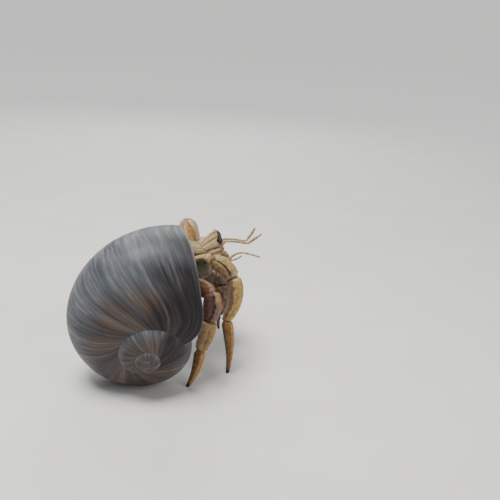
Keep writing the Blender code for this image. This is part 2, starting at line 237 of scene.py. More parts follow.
def growTube(bm, route, sizes, across, plan, sides, outline=None):
    # rings along a route; plan lists each ring's place and scale; x and y are on the unit circle
    layer = bm.verts.layers.float_vector["part"]
    made = bmesh.ops.create_circle(bm, cap_ends=False, radius=1.0, segments=sides)
    verts = made["verts"]
    for vert in verts:
        vert[layer] = (vert.co.x, vert.co.y, 0.0)
    edges = list({edge for vert in verts for edge in vert.link_edges})
    tube = list(verts)
    for index, (t, scale) in enumerate(plan):
        if index:
            made = bmesh.ops.extrude_edge_only(bm, edges=edges)
            verts, edges = newVerts(made), newEdges(made)
            tube += verts
        else:
            first = edges
        along = (curveAt(route, t + 0.01) - curveAt(route, t - 0.01)).normalized()
        side = squareTo(across, along)
        up = along.cross(side)
        width, depth = curveAt(sizes, t) * scale
        middle = curveAt(route, t)
        for vert in verts:
            x, y, _ = vert[layer]
            vert[layer] = (x, y, t)
            if outline:
                x, y = outline(x, y, t)
            vert.co = middle + side * width * x + up * depth * y
    for rim in (first, edges):
        bmesh.ops.contextual_create(bm, geom=rim)
    return tube


def evenPlan(rings, start=0.25, end=0.25):
    # rings with both ends rounded over the first and last share of the length
    plan = []
    for k in range(rings + 1):
        t = k / rings
        bend = min(t / start, (1 - t) / end, 1.0)
        plan.append((t, max(math.sqrt(1 - (1 - bend) ** 2), 0.06)))
    return plan


def boxed(x, y, power, powerUp=None):
    # squares off a round outline
    return math.copysign(abs(x) ** power, x), math.copysign(abs(y) ** (powerUp or power), y)


def raiseGrains(bm, verts, size, height, cover):
    # low round grains on a cellular pattern; cover says how strongly they stand out at a part's place
    part = bm.verts.layers.float_vector["part"]
    grain = bm.verts.layers.float["grain"]
    bm.normal_update()
    moves = []
    for vert in verts:
        near, _ = noise.voronoi(vert.co / size)
        amount = max(0.0, 1.0 - (near[0] / 0.62) ** 2) * cover(*vert[part])
        vert[grain] = amount
        moves.append((vert, vert.normal * height * amount))
    for vert, move in moves:
        vert.co += move


# finishes

def shellFinish():
    # slate streaks along the growth lines, brown towards the spire and navy towards the lip's end, the navy
    # partly the shell's own colour and partly painted shade; painted shade on the top near the lip; a pale
    # lip edge that is partly a painted highlight
    finish = Finish("shellGrey", 0.34, Specular_IOR_Level=0.24, Coat_Roughness=0.22)
    growth, across, _ = finish.parts(finish.attribute("growth", "Vector"))
    inner = finish.attribute("inside")
    streakPlace = finish.stretched(finish.attribute("growth", "Vector"), (1.0, 0.03, 0.0))
    waver = finish.stretched(finish.attribute("growth", "Vector"), (1.0, 0.3, 0.0))
    broad = finish.noise(streakPlace, 34.0, 2.0)
    lines = finish.noise(streakPlace, 120.0, 3.0, 0.6)
    hair = finish.noise(streakPlace, 420.0, 2.0, 0.6)
    soft = finish.noise(waver, 16.0, 3.0, 0.55)
    cloud = finish.noise(finish.objectPlace(), 120.0, 3.0)
    streak = broad * 0.3 + lines * 0.34 + hair * 0.16 + soft * 0.2
    slate = finish.ramp(streak, [
        (0.38, (0.03, 0.033, 0.038)), (0.46, (0.056, 0.061, 0.068)), (0.53, (0.09, 0.096, 0.106)),
        (0.62, (0.18, 0.19, 0.2)),
    ])
    brown = finish.ramp(streak, [
        (0.38, (0.013, 0.008, 0.007)), (0.47, (0.042, 0.027, 0.021)), (0.54, (0.075, 0.05, 0.037)),
        (0.64, (0.12, 0.09, 0.06)),
    ])
    # navy: the shell's own dark colour, also used here to paint shade near the lip's end
    navyAndShade = finish.ramp(streak, [
        (0.4, (0.002, 0.001, 0.003)), (0.49, (0.007, 0.004, 0.007)), (0.56, (0.024, 0.016, 0.016)),
        (0.64, (0.075, 0.052, 0.04)),
    ])
    high = (0.05 - across).over(-0.06, 0.12) * lines.over(0.35, 0.75) * growth.over(0.02, 0.12)
    top = finish.mix(slate, (0.17, 0.178, 0.182), high * 0.6)
    nearSpire = (across + cloud * 0.1 - 0.05).over(0.16, 0.34)
    outer = finish.mix(top, brown, nearSpire * (0.55 + 0.45 * soft.over(0.3, 0.7)))
    # the navy mask near the lip's end and on the body whorl under the lip: partly the shell's own colour
    # and partly painted shade
    lipwardNavyAndShade = 1 - (growth + cloud * 0.04 - 0.02 - across.over(0.26, 0.44) * 0.1).over(0.02, 0.14)
    under = growth.band(0.93, 0.2)
    dark = (lipwardNavyAndShade + under).over(0.0, 1.0) * (across + cloud * 0.12 - 0.06).over(0.03, 0.22)
    outer = finish.mix(outer, navyAndShade, dark * (1 - 0.3 * lines.over(0.45, 0.7)))
    shade = (1 - growth.over(0.0, 0.12)) * (1 - dark)
    outer = finish.mix(outer, (0.03, 0.031, 0.029), shade * (0.85 - 0.4 * lines.over(0.45, 0.65)))
    # the lip's thin pale edge: partly its own pale rim and partly a painted highlight
    paleLipAndHighlight = 1 - growth.over(0.0, 0.0045)
    outer = finish.mix(outer, (0.3, 0.28, 0.25), paleLipAndHighlight * (0.75 - dark * 0.5))
    glaze = [(0.35, (0.05, 0.028, 0.02)), (0.65, (0.17, 0.12, 0.095))]
    glaze = finish.ramp(cloud * 0.7 + soft * 0.3, glaze)
    color = finish.mix(outer, glaze, inner.over(0.2, 0.8))
    finish.set(Base_Color=color, Roughness=0.4 + lines * 0.16 + cloud * 0.1 - inner * 0.2, Coat_Weight=0.04)
    finish.bump(lines * 0.5 + hair * 0.4 + cloud * 0.1, 0.00012)
    return finish


# what a crust has unless its own row below says otherwise
plainCrust = {
    "stripeAmount": 0.5, "stripeWidth": 0.36, "ridgeFrom": 0.58, "ridgeFade": 0.0, "endAmount": 0.5,
    "endFrom": -3.0, "rootAmount": 0.6, "slant": 0.2, "mottle": 1.0, "grainPaleAndHighlight": 0.35,
    "roughness": 0.46, "blotches": 0.0,
}


def crustFinish(name, ridge, stripe, side, under, end, light, changes=()):
    # hard crust: a pale ridge, a dark stripe below it, the side, the underside, and pale rims
    look = {**plainCrust, **dict(changes)}
    shine = {"Specular_IOR_Level": 0.4, "Subsurface_Weight": 0.05, "Subsurface_Scale": 0.0008}
    finish = Finish(name + "Crust", look["roughness"], **shine)
    _, up, along = finish.parts(finish.attribute("part", "Vector"))
    grain = finish.attribute("grain")
    place = finish.objectPlace()
    blotch = finish.noise(place, 330.0, 3.0, 0.6)
    cloud = finish.noise(place, 900.0, 4.0, 0.6)
    speck = finish.noise(place, 3600.0, 2.0)
    height = up + (cloud - 0.5) * 0.4 + (blotch - 0.5) * 0.5 + (along - 0.5) * look["slant"]
    color = finish.mix(under, side, height.over(-0.75, -0.15))
    top, half = look["ridgeFrom"], look["stripeWidth"] / 2
    color = finish.mix(color, stripe, height.band(top - half, half * 2) * look["stripeAmount"])
    faded = 1 - along.over(0.2, 0.5) * look["ridgeFade"]
    color = finish.mix(color, ridge, height.over(top, top + min(0.18, half)) * faded)
    patches = (blotch * 0.6 + cloud * 0.4).over(0.5, 0.58)
    color = finish.mix(color, light, patches * look["blotches"])
    rim = (along + (cloud - 0.5) * 0.08).over(0.84, 0.93)
    rim = rim * height.over(look["endFrom"], look["endFrom"] + 0.3)
    color = finish.mix(color, end, rim * look["endAmount"])
    root = 1 - (along + (cloud - 0.5) * 0.12).over(0.0, 0.13)
    color = finish.mix(color, stripe, root * look["rootAmount"])
    # pale grain tips: partly their own colour and partly a painted highlight
    color = finish.mix(color, light, grain * look["grainPaleAndHighlight"] * cloud.over(0.25, 0.6))
    mottle = [(0.36, (0.5, 0.44, 0.4)), (0.6, (1.15, 1.12, 1.05))]
    mottle = finish.ramp(speck * 0.35 + cloud * 0.65, mottle)
    color = finish.mix(color, mottle, look["mottle"], "MULTIPLY")
    finish.set(Base_Color=color, Roughness=look["roughness"] + 0.16 * speck - 0.1 * grain, Coat_Weight=0.08)
    finish.bump(cloud * 0.5 + speck * 0.5, 0.0001)
    return finish


def fleshFinish(name, dark, middle, light):
    finish = Finish(name, 0.5, Subsurface_Weight=0.2, Subsurface_Scale=0.0015)
    place = finish.objectPlace()
    folds = finish.noise(finish.stretched(place, (1.0, 1.0, 2.4)), 420.0, 4.0, 0.6)
    blotch = finish.noise(place, 160.0, 2.0)
    tone = blotch * 0.6 + folds * 0.4
    color = finish.ramp(tone, [(0.3, dark), (0.5, middle), (0.68, light)])
    finish.set(Base_Color=color, Roughness=0.38 + folds * 0.25)
    finish.bump(folds, 0.0002)
    return finish


def eyeFinish():
    # nearly black under a clear wet coat, with faint browner clouds
    finish = Finish("cornea", 0.2, Coat_Weight=0.5, Coat_Roughness=0.04, Specular_IOR_Level=0.25)
    cloud = finish.noise(finish.objectPlace(), 700.0)
    facets = finish.node("TexVoronoi", {"Vector": finish.objectPlace(), "Scale": 16000.0})
    color = finish.ramp(cloud, [(0.35, (0.004, 0.002, 0.001)), (0.7, (0.02, 0.009, 0.005))])
    finish.set(Base_Color=color, Roughness=0.22 + facets * 0.06)
    finish.bump(facets, 0.0000003)
    return finish


def feelerFinish():
    # tan with a darker ring at each joint of the whip
    finish = Finish("feeler", 0.4, Subsurface_Weight=0.1, Subsurface_Scale=0.0005)
    _, up, along = finish.parts(finish.attribute("part", "Vector"))
    grain = finish.attribute("grain")
    cloud = finish.noise(finish.objectPlace(), 900.0)
    color = finish.ramp(cloud, [(0.35, (0.2, 0.1, 0.045)), (0.65, (0.46, 0.3, 0.16))])
    color = finish.mix(color, (0.075, 0.035, 0.02), grain * 0.7)
    color = finish.mix(color, (0.5, 0.36, 0.2), (up + cloud - 0.5).over(0.5, 0.9) * 0.5)
    finish.set(Base_Color=color, Roughness=0.32 + cloud * 0.2)
    finish.bump(cloud, 0.00003)
    return finish


def bristleFinish():
    finish = Finish("bristle", 0.35)
    tone = finish.noise(finish.objectPlace(), 300.0)
    color = finish.ramp(tone, [(0.35, (0.05, 0.022, 0.01)), (0.65, (0.24, 0.13, 0.05))])
    finish.set(Base_Color=color, Roughness=0.3 + tone * 0.2)
    return finish


gold = (0.34, 0.215, 0.062)
cream = (0.42, 0.33, 0.185)
ridgeShadowBrown = (0.008, 0.004, 0.002)
olive = (0.17, 0.162, 0.14)
# each crust's ridge, stripe, side, underside, rim and grains, and what differs from plainCrust
crusts = {
    # the merus's broad near-black stripe under its ridge is painted shadow
    "merus": ((0.36, 0.235, 0.09), ridgeShadowBrown, olive, (0.2, 0.175, 0.135), gold, cream,
        {"stripeAmount": 1.0, "stripeWidth": 0.72, "ridgeFrom": 0.5, "endAmount": 0.7, "endFrom": -0.2}),
    "carpus": ((0.3, 0.225, 0.09), (0.03, 0.013, 0.005), (0.27, 0.18, 0.085), (0.27, 0.175, 0.095),
        cream, cream, {"stripeAmount": 0.95, "stripeWidth": 0.24, "ridgeFrom": 0.29, "endAmount": 0.4,
        "rootAmount": 0.3, "slant": 0.7}),
    "propodus": ((0.34, 0.225, 0.066), (0.12, 0.065, 0.035), (0.19, 0.12, 0.08), (0.15, 0.09, 0.062),
        cream, cream, {"stripeAmount": 0.6, "ridgeFrom": 0.05, "endAmount": 0.35, "rootAmount": 0.05}),
    "dactyl": ((0.3, 0.17, 0.05), (0.13, 0.05, 0.015), (0.2, 0.1, 0.033), (0.1, 0.04, 0.014),
        (0.008, 0.005, 0.004), gold, {"endAmount": 1.0}),
    "redMerus": ((0.2, 0.11, 0.06), (0.07, 0.024, 0.012), (0.1, 0.04, 0.023), (0.085, 0.034, 0.026),
        (0.1, 0.042, 0.02), gold, {"stripeAmount": 0.8, "ridgeFrom": 0.72}),
    "plumCarpus": ((0.25, 0.155, 0.06), (0.016, 0.006, 0.011), (0.115, 0.055, 0.048),
        (0.1, 0.045, 0.034), (0.06, 0.026, 0.024), (0.16, 0.09, 0.06), {"stripeAmount": 0.95,
        "ridgeFrom": 0.62, "ridgeFade": 0.8, "rootAmount": 0.0}),
    "rustPropodus": ((0.24, 0.15, 0.056), (0.18, 0.09, 0.034), (0.34, 0.22, 0.115), (0.42, 0.32, 0.2),
        cream, gold, {"endAmount": 0.3, "rootAmount": 0.1}),
    "knob": ((0.24, 0.115, 0.022), (0.2, 0.08, 0.014), (0.24, 0.12, 0.03), (0.3, 0.19, 0.09),
        (0.26, 0.145, 0.045), (0.3, 0.2, 0.09), {"stripeAmount": 0.6, "endAmount": 0.3,
        "rootAmount": 0.1, "grainPaleAndHighlight": 0.25, "roughness": 0.5, "blotches": 0.35}),
    "knobSide": ((0.24, 0.12, 0.024), (0.3, 0.17, 0.055), (0.5, 0.39, 0.25), (0.42, 0.28, 0.14), cream,
        (0.34, 0.22, 0.1), {"stripeAmount": 0.7, "ridgeFrom": 0.66, "endAmount": 0.3, "rootAmount": 0.1,
        "mottle": 0.8, "grainPaleAndHighlight": 0.25, "roughness": 0.5, "blotches": 0.35}),
    "claw": ((0.17, 0.11, 0.074), (0.11, 0.07, 0.05), (0.17, 0.12, 0.096), (0.18, 0.125, 0.096),
        (0.05, 0.022, 0.014), (0.32, 0.22, 0.13), {"endAmount": 0.3, "grainPaleAndHighlight": 0.5}),
    "pincer": ((0.15, 0.09, 0.058), (0.085, 0.05, 0.036), (0.115, 0.072, 0.052), (0.12, 0.075, 0.05),
        (0.02, 0.012, 0.01), (0.36, 0.26, 0.16), {"endAmount": 0.95, "grainPaleAndHighlight": 0.6}),
    "shield": ((0.158, 0.123, 0.037), (0.14, 0.1, 0.032), (0.15, 0.108, 0.04), (0.17, 0.125, 0.06),
        (0.3, 0.22, 0.09), (0.28, 0.22, 0.1), {"grainPaleAndHighlight": 0.3, "roughness": 0.48, "blotches": 0.3}),
    "stalk": ((0.38, 0.265, 0.1), (0.16, 0.08, 0.022), (0.86, 0.68, 0.43), (0.42, 0.29, 0.155),
        (0.28, 0.2, 0.12), cream, {"stripeAmount": 0.8, "stripeWidth": 0.15, "ridgeFrom": 0.68,
        "mottle": 0.4, "grainPaleAndHighlight": 0.3, "roughness": 0.38, "blotches": 0.15}),
    "peduncle": ((0.2, 0.135, 0.06), (0.13, 0.07, 0.028), (0.21, 0.14, 0.062), (0.15, 0.08, 0.04),
        (0.22, 0.14, 0.07), (0.3, 0.22, 0.12), {"grainPaleAndHighlight": 0.3, "roughness": 0.38, "blotches": 0.2}),
}
finishes = {name: crustFinish(name, *row) for name, row in crusts.items()}
finishes.update({
    "shell": shellFinish(), "eye": eyeFinish(), "feeler": feelerFinish(), "bristle": bristleFinish(),
    "flesh": fleshFinish("softSkin", (0.09, 0.04, 0.03), (0.24, 0.12, 0.08), (0.42, 0.25, 0.17)),
    "joint": fleshFinish("jointSkin", (0.05, 0.022, 0.01), (0.13, 0.066, 0.028), (0.22, 0.125, 0.06)),
})
print("finishes made")


# shell: a section's place is its radius and height, growing along a log spiral; the spire's tip is at 0;
# angles on the section run from the suture, by the spire, round to the foot, by the navel

shell = {
    "ratio": 2.7, "lipRadius": 30.2, "spire": 22.5, "base": 21.2, "navel": 7.9, "navelFloor": 34.0,
    "suture": 80.0, "overlap": 32.0, "foot": -90.0, "lipTurn": 66.0, "rows": 840, "lastRows": 216,
    "columns": (18, 54), "rowTurn": 1.5, "blendRows": 60, "ridge": 0.0015, "navelRings": 6,
    "leadRadius": 8.0, "lead": (3.0, 36.0), "mapRows": 240, "mapAngle": 180, "weld": 0.012, "tip": 3.0,
    # how far the lip stands forward, from the foot to the suture
    "lip": (37.5, 28.5, 20.0, 11.5, 5.6, 1.2, -1.3, -2.6, -2.5, -0.8, 1.2, 3.6, 7.0, 11.8, 19.4, 31.75,
            45.0, 52.0),
}
lipSpan = shell["suture"] - shell["foot"]
baseSpan = shell["overlap"] - shell["foot"]


def sectionAt(v, inset=0.0):
    # a point on the last whorl's section: v is 0 at its widest place, 90 at the spire, -90 at the base
    low, top = math.radians(shell["overlap"]), math.radians(shell["suture"])
    ratio = shell["ratio"]
    centre = (math.cos(low) - ratio * math.cos(top)) / (ratio - 1)
    rise = (ratio * math.sin(top) - math.sin(low)) / (ratio - 1)
    across = shell["lipRadius"] / (1 + centre)
    size = Vector((across, shell["spire"] / rise))
    start = centre * across
    if v < 0:
        size = Vector((shell["lipRadius"] - shell["navel"], shell["base"]))
        start = shell["navel"]
    turn = math.radians(v)
    normal = Vector((math.cos(turn) / size.x, math.sin(turn) / size.y)).normalized()
    spot = Vector((start + size.x * math.cos(turn), size.y * math.sin(turn) - shell["spire"]))
    return spot - normal * inset


def spiralSpot(spot, phase):
    size = shell["ratio"] ** (phase / 360)
    angle = math.radians(shell["lipTurn"] - phase)
    return Vector((spot.x * math.cos(angle), spot.x * math.sin(angle), spot.y)) * size


def lipPhase(v):
    return curveAt(shell["lip"], (v - shell["foot"]) / lipSpan)


def growthLine(v):
    # how far a growth line runs ahead at v; the two sides of the suture differ by a whole number of rows
    if v < 0:
        return lipPhase(v) - lipPhase(0) + growthLine(0)
    places = (v, shell["overlap"], shell["suture"])
    lead, low, top = (math.asin(shell["leadRadius"] / sectionAt(place).x) for place in places)
    return shell["lead"][0] + shell["lead"][1] * (lead - low) / (top - low)


def outerPhase(row, v):
    fade = 1 - easeIn(row / shell["blendRows"])
    line = growthLine(v) - growthLine(shell["suture"])
    start = lipPhase(shell["suture"])
    return start - shell["rowTurn"] * row + line + fade * (lipPhase(v) - start - line)


def mapGrowth(faces, uv, place):
    # the finish follows this map: rows along the growth, angles across it
    for face in faces:
        for loop in face.loops:
            loop[uv].uv = place(loop.vert)


def facesOf(verts):
    return {face for vert in verts for face in vert.link_faces}


def addWhorls(bm, rows, high, low, columns):
    row, angle = bm.verts.layers.float["row"], bm.verts.layers.float["angle"]
    grid = bmesh.ops.create_grid(bm, x_segments=rows, y_segments=columns, size=0.5)["verts"]
    for vert in grid:
        vert[row] = (vert.co.x + 0.5) * rows
        vert[angle] = low + (vert.co.y + 0.5) * (high - low)
    lines = {round(vert[angle], 3): sectionAt(vert[angle]) for vert in grid}
    for vert in grid:
        vert.co = spiralSpot(lines[round(vert[angle], 3)], outerPhase(vert[row], vert[angle]))
    return grid


def addNavel(bm, row, angle, spot):
    # a cone from the foot of the last whorl down to a point inside
    rings, nearFoot = shell["navelRings"], shell["foot"] + 0.1
    base = [edge for edge in bm.edges if all(vert[angle] < nearFoot for vert in edge.verts)]
    navel = bmesh.ops.extrude_edge_only(bm, edges=base)
    floor = Vector((0, 0, -shell["navelFloor"]))
    cone = []
    for ring in range(1, rings + 1):
        verts = newVerts(navel)
        for vert in verts:
            vert.co = vert.co.lerp(floor, 1 / (rings + 1 - ring))
            vert[angle] -= 4
            vert[spot] = 1 + ring / (2 * rings) if vert[row] < 0.5 else 2 - ring / (2 * rings)
        cone += verts
        if ring < rings:
            navel = bmesh.ops.extrude_edge_only(bm, edges=newEdges(navel))
    return cone


# the lining: rings from the lip inwards; "pillar" is the column inside, from the lip to the last whorl
lining = {
    "rings": 96, "fineRings": 40, "coarser": 3, "settleRings": 26, "wallRings": 16, "pillarRings": 20,
    "joinRings": 60, "edge": 0.5, "wall": 1.4, "shrink": (0.18, 0.13), "navelPhases": (37.5, -271.75),
    "throat": (-62, 70), "raise": (0.1, 0.4), "raiseSpan": 30, "deepPhase": (24, 16),
    "pillar": ((13.9, -41.5), (7.6, -38.0), (6.9, -27.0), (6.6, -19.0), (7.1, -15.9)),
}


def liningPlace(place, ring):
    # the lip turns in, lines the last whorl, and covers the pillar and the whorl before
    settle = easeIn(ring / lining["settleRings"])
    raised = easeIn(ring / lining["pillarRings"])
    if place <= 1:
        v = shell["suture"] - lipSpan * place
        inset = lining["edge"] * min(ring, 1)
        inset += (lining["wall"] - lining["edge"]) * easeIn(ring / lining["wallRings"])
        shrink = lining["shrink"][0 if v > 0 else 1]
        return sectionAt(v * (1 - shrink * settle), inset), lipPhase(v)
    if place < 2:
        t = place - 1
        rim, deep = (spiralSpot(sectionAt(shell["foot"]), phase) for phase in lining["navelPhases"])
        near = 1 - abs(2 * t - 1)
        height = (rim.z if t < 0.5 else deep.z) * (1 - near) - shell["navelFloor"] * near
        radius = (rim.xy if t < 0.5 else deep.xy).length * (1 - near)
        phase = lining["navelPhases"][0] if t < 0.5 else lining["navelPhases"][1] + 360
        start = Vector((radius, height)) / shell["ratio"] ** (phase / 360)
        pillar = curveAt([Vector(point) for point in lining["pillar"]], t)
        return start.lerp(pillar, raised), phase
    t = place - 2
    v = shell["foot"] + baseSpan * t
    lift = lining["raise"][0] * min(ring, 1) + lining["raise"][1] * raised
    lift *= easeIn((shell["overlap"] - v) / lining["raiseSpan"])
    throat = lining["throat"][0] + lining["throat"][1] * t
    spot = sectionAt(v + (throat - v) * settle, -lift * shell["ratio"]) / shell["ratio"]
    return spot, 360 + outerPhase(shell["lastRows"], v)


def liningSpot(place, ring):
    spot, phase = liningPlace(place, ring)
    steps = ring - 1
    if ring >= lining["fineRings"]:
        steps = lining["fineRings"] - 1 + (ring - lining["fineRings"]) * lining["coarser"]
    turn = math.pi * min(max(place, 1.0), 3.0) / 2 - math.pi / 2
    common = lining["deepPhase"][0] + lining["deepPhase"][1] * math.sin(turn)
    phase += (common - phase) * easeIn(ring / lining["joinRings"])
    return spiralSpot(spot, phase - max(shell["rowTurn"] * steps, 0.0))


def addLining(bm, row, spot, inside):
    edges = [edge for edge in bm.edges if edge.is_boundary]
    for ring in range(1, lining["rings"]):
        made = bmesh.ops.extrude_edge_only(bm, edges=edges)
        edges = newEdges(made)
        for vert in newVerts(made):
            vert.co = liningSpot(vert[spot], ring)
            vert[row] = -ring
            vert[inside] = easeIn(ring / 3)
    bmesh.ops.contextual_create(bm, geom=edges)


def makeShell():
    bm = bmesh.new()
    names = ("row", "angle", "spot", "inside")
    for name in names:
        bm.verts.layers.float.new(name)
    uv = bm.loops.layers.uv.new("growth")
    row, angle, spot, inside = (bm.verts.layers.float[name] for name in names)
    verts = addWhorls(bm, shell["rows"], shell["suture"], shell["overlap"], shell["columns"][0])
    verts += addWhorls(bm, shell["lastRows"], shell["overlap"], shell["foot"], shell["columns"][1])
    verts += addNavel(bm, row, angle, spot)
    rowSpan, angleSpan = shell["mapRows"], shell["mapAngle"]
    mapGrowth(facesOf(verts), uv, lambda vert: (vert[row] / rowSpan, vert[angle] / angleSpan))
    for vert in bm.verts:
        if vert[angle] >= shell["foot"] and vert[row] < 0.5:
            vert[spot] = (shell["suture"] - vert[angle]) / lipSpan
        elif vert[angle] >= shell["foot"] and abs(vert[row] - shell["lastRows"]) < 0.5:
            vert[spot] = 2 + (vert[angle] - shell["foot"]) / baseSpan
    bmesh.ops.remove_doubles(bm, verts=bm.verts, dist=shell["weld"])
    for vert in bm.verts:
        ridge = noise.noise((vert[row] * 0.45, vert[angle] * 0.02, 3.0))
        ridge += 0.8 * noise.noise((vert[row] * 0.13, vert[angle] * 0.012, 8.0))
        vert.co *= 1 + shell["ridge"] * ridge * easeIn(vert[row] / 10)
    rims = [edge for edge in bm.edges if edge.is_boundary]
    tip = [edge for edge in rims if all(vert.co.length < shell["tip"] for vert in edge.verts)]
    bmesh.ops.contextual_create(bm, geom=tip)
    addLining(bm, row, spot, inside)
    linings = [face for face in bm.faces if any(vert[inside] > 0 for vert in face.verts)]
    mapGrowth(linings, uv, lambda vert: (-vert[row] / rowSpan, vert[spot]))
    bmesh.ops.transform(bm, matrix=shellFrame, verts=bm.verts)
    cutFloor(bm)
    finishPiece("moonShell", bm, Matrix(), "shell", ("shell",))


def cutFloor(bm):
    # cuts off what reaches below the floor and closes the cut
    geom = bm.verts[:] + bm.edges[:] + bm.faces[:]
    cut = bmesh.ops.bisect_plane(bm, geom=geom, dist=1e-7, plane_no=-upward, clear_outer=True)
    edges = [part for part in cut["geom_cut"] if isinstance(part, bmesh.types.BMEdge)]
    if edges:
        bmesh.ops.contextual_create(bm, geom=edges)


makeShell()
print("shell made")


# crab: in millimetres from the front edge of its shield, X forward, Y to its left, Z up

legs = {
    "sizes": ((3.0, 4.0), (3.6, 4.8), (4.0, 5.2), (3.0, 3.9), (0.9, 1.1)),
    "stout": ("leg_3_left", (1.0, 1.25, 1.2, 1.15, 1.0)),
    "bows": (0.6, 0.5, 0.2, 0.9), "parts": ("merus", "carpus", "propodus", "dactyl"),
    "toeLevel": -36.25, "rings": 84, "sides": 64, "grains": (0.42, 0.1), "bristles": (90, 0.5),
    "shapes": {
        "leg_2_right_merus": (1.0, 0.9, 2.3), "leg_2_left_merus": (1.0, 0.9, 1.9),
        "leg_2_right_carpus": (1.0, 0.82, 1.15), "leg_2_left_carpus": (1.0, 0.9, 1.1),
        "leg_2_right_propodus": (1.0, 0.9, 0.92), "leg_2_left_propodus": (1.1, 1.05, 1.05),
        "leg_3_right_merus": (1.0, 1.0, 1.35), "leg_3_right_carpus": (1.1, 1.0, 1.1),
        "leg_3_left_merus": (1.2, 0.88, 1.1), "leg_3_left_carpus": (1.25, 0.98, 1.0),
        "claw_right_arm": (1.1, 0.9, 2.2), "claw_left_arm": (1.0, 0.9, 1.4),
        "claw_right_wrist": (1.05, 1.0, 1.35), "claw_left_wrist": (1.05, 1.0, 1.15),
    },
    # how high the groove below the ridge starts, and how far it falls
    "groove": (0.62, 0.24),
    "grooves": {"leg_2_right_carpus": (0.52, 0.7), "leg_2_left_carpus": (0.52, 0.7)},
    "bent": {"leg_2_right": (0.7, 0.9, 1.7, 0.9), "leg_3_right": (0.6, 0.7, 0.3, 0.9),
             "leg_3_left": (0.5, 1.4, 0.2, 0.9)},
    # hip, knee and the two ankles; the toe's x and y
    "joints": {
        "leg_2_right": ((-7, -5, -5), (0.6, -10, 0.1), (6.9, -12, -4.7), (5.2, -12.4, -18.6), (5.8, -14.5)),
        "leg_2_left": ((-0.5, 4.6, -4.5), (2.6, 11.4, -1.2), (6.6, 14, -9), (7.5, 14.5, -21), (10, 16.5)),
        "leg_3_right": ((-9, -4.5, -8.6), (-0.8, -17, -7.3), (-1.5, -18, -15.6), (-3.6, -17, -25.9),
                        (-8, -20.5)),
        "leg_3_left": ((-3, 4.6, -8.6), (-2.9, 17, 2.4), (0.6, 21, -6.2), (0, 21.5, -21), (-3.5, 25)),
    },
    "finishes": {
        "leg_2_right": ("merus", "carpus", "propodus", "dactyl"),
        "leg_2_left": ("merus", "carpus", "propodus", "dactyl"),
        "leg_3_right": ("redMerus", "plumCarpus", "rustPropodus", "dactyl"),
        "leg_3_left": ("knob", "knobSide", "rustPropodus", "dactyl"),
    },
}
claws = {
    "sizes": ((2.2, 2.8), (2.5, 3.2), (2.8, 3.4)), "bows": (0.3, 0.4), "rings": 64, "sides": 56,
    "grains": (0.5, 0.16), "bristles": (110, 0.5),
    "claw_right": {"side": -1, "scale": 1.0, "arm": ((-0.5, 3.2, -8), (3.4, 4.6, -6.4), (5.8, 4.6, -9.8)),
                   "palmEnd": (5.9, 3.9, -16.5), "tip": (5.2, 3.2, -21.5)},
    "claw_left": {"side": 1, "scale": 1.5, "arm": ((0.2, 3.2, -8.6), (4.8, 5.8, -7.6), (7.6, 7.4, -11)),
                  "palmEnd": (8.6, 6, -20), "tip": (7.6, 4.2, -27)},
}


def limbPlan(rings, last=False):
    # necked at the near end, swollen, and rounded over into a cup at the far end
    full = (0.62, 0.94, 1.02, 1.05, 1.06, 1.03, 0.99, 0.96, 0.94, 0.9, 0.82)
    cup = [(1.002, 0.58), (0.997, 0.55), (0.98, 0.52), (0.95, 0.5), (0.94, 0.35), (0.94, 0.1)]
    plan = [(0.0, 0.12), (0.0, 0.42)]
    for k in range(1, rings + 1):
        t = k / rings
        swell = curveAt(full, t) * (0.7 + 0.3 * easeIn(t / 0.1))
        if not last:
            swell *= 1 - 0.32 * max(0.0, (t - 0.86) / 0.14) ** 2.4
        plan.append((t, swell))
    return plan if last else plan + cup


def ridged(power, ridge, groove, shape=(1.0, 1.0, 1.0), line=legs["groove"]):
    # a boxy oval with a low ridge on top, a groove below it on each side, and a keel
    wide, high, deep = shape
    begin, fall = line

    def outline(x, y, t):
        x, y = boxed(x, y, power)
        ends = math.sin(math.pi * min(max((t - 0.03) * 1.12, 0.0), 1.0))
        x *= 1 - groove * ends * math.exp(-((y - begin + fall * t) / 0.17) ** 2)
        y += ridge * ends * easeIn((y - 0.6) / 0.4)
        if y > 0:
            return x * wide, y * high
        below = 1 + (deep - 1) * math.sin(math.pi * min(max(t, 0.0), 1.0)) ** 0.5
        return x * wide * (1 + 0.2 * (below - 1) * y), y * below
    return outline


def crustCover(side, up, along):
    # grains are strongest on the ridge, and fade towards the joints
    ends = easeIn(along / 0.1) * easeIn((1.0 - along) / 0.04)
    return ends * (0.35 + 0.65 * easeIn((up + 0.3) / 1.1))


jointSkin = bmesh.new()
joint = {"share": 0.34, "back": 0.35, "segments": (28, 18), "fold": 0.04, "folds": 16}
bristle = {
    "lean": 0.9, "drift": 0.25, "root": 0.05, "thick": 0.09, "taper": (1.0, 0.7, 0.12),
    "plan": ((0.0, 1.0), (0.5, 1.0), (1.0, 1.0)), "sides": 3, "patch": (0.0015, 0.003),
}


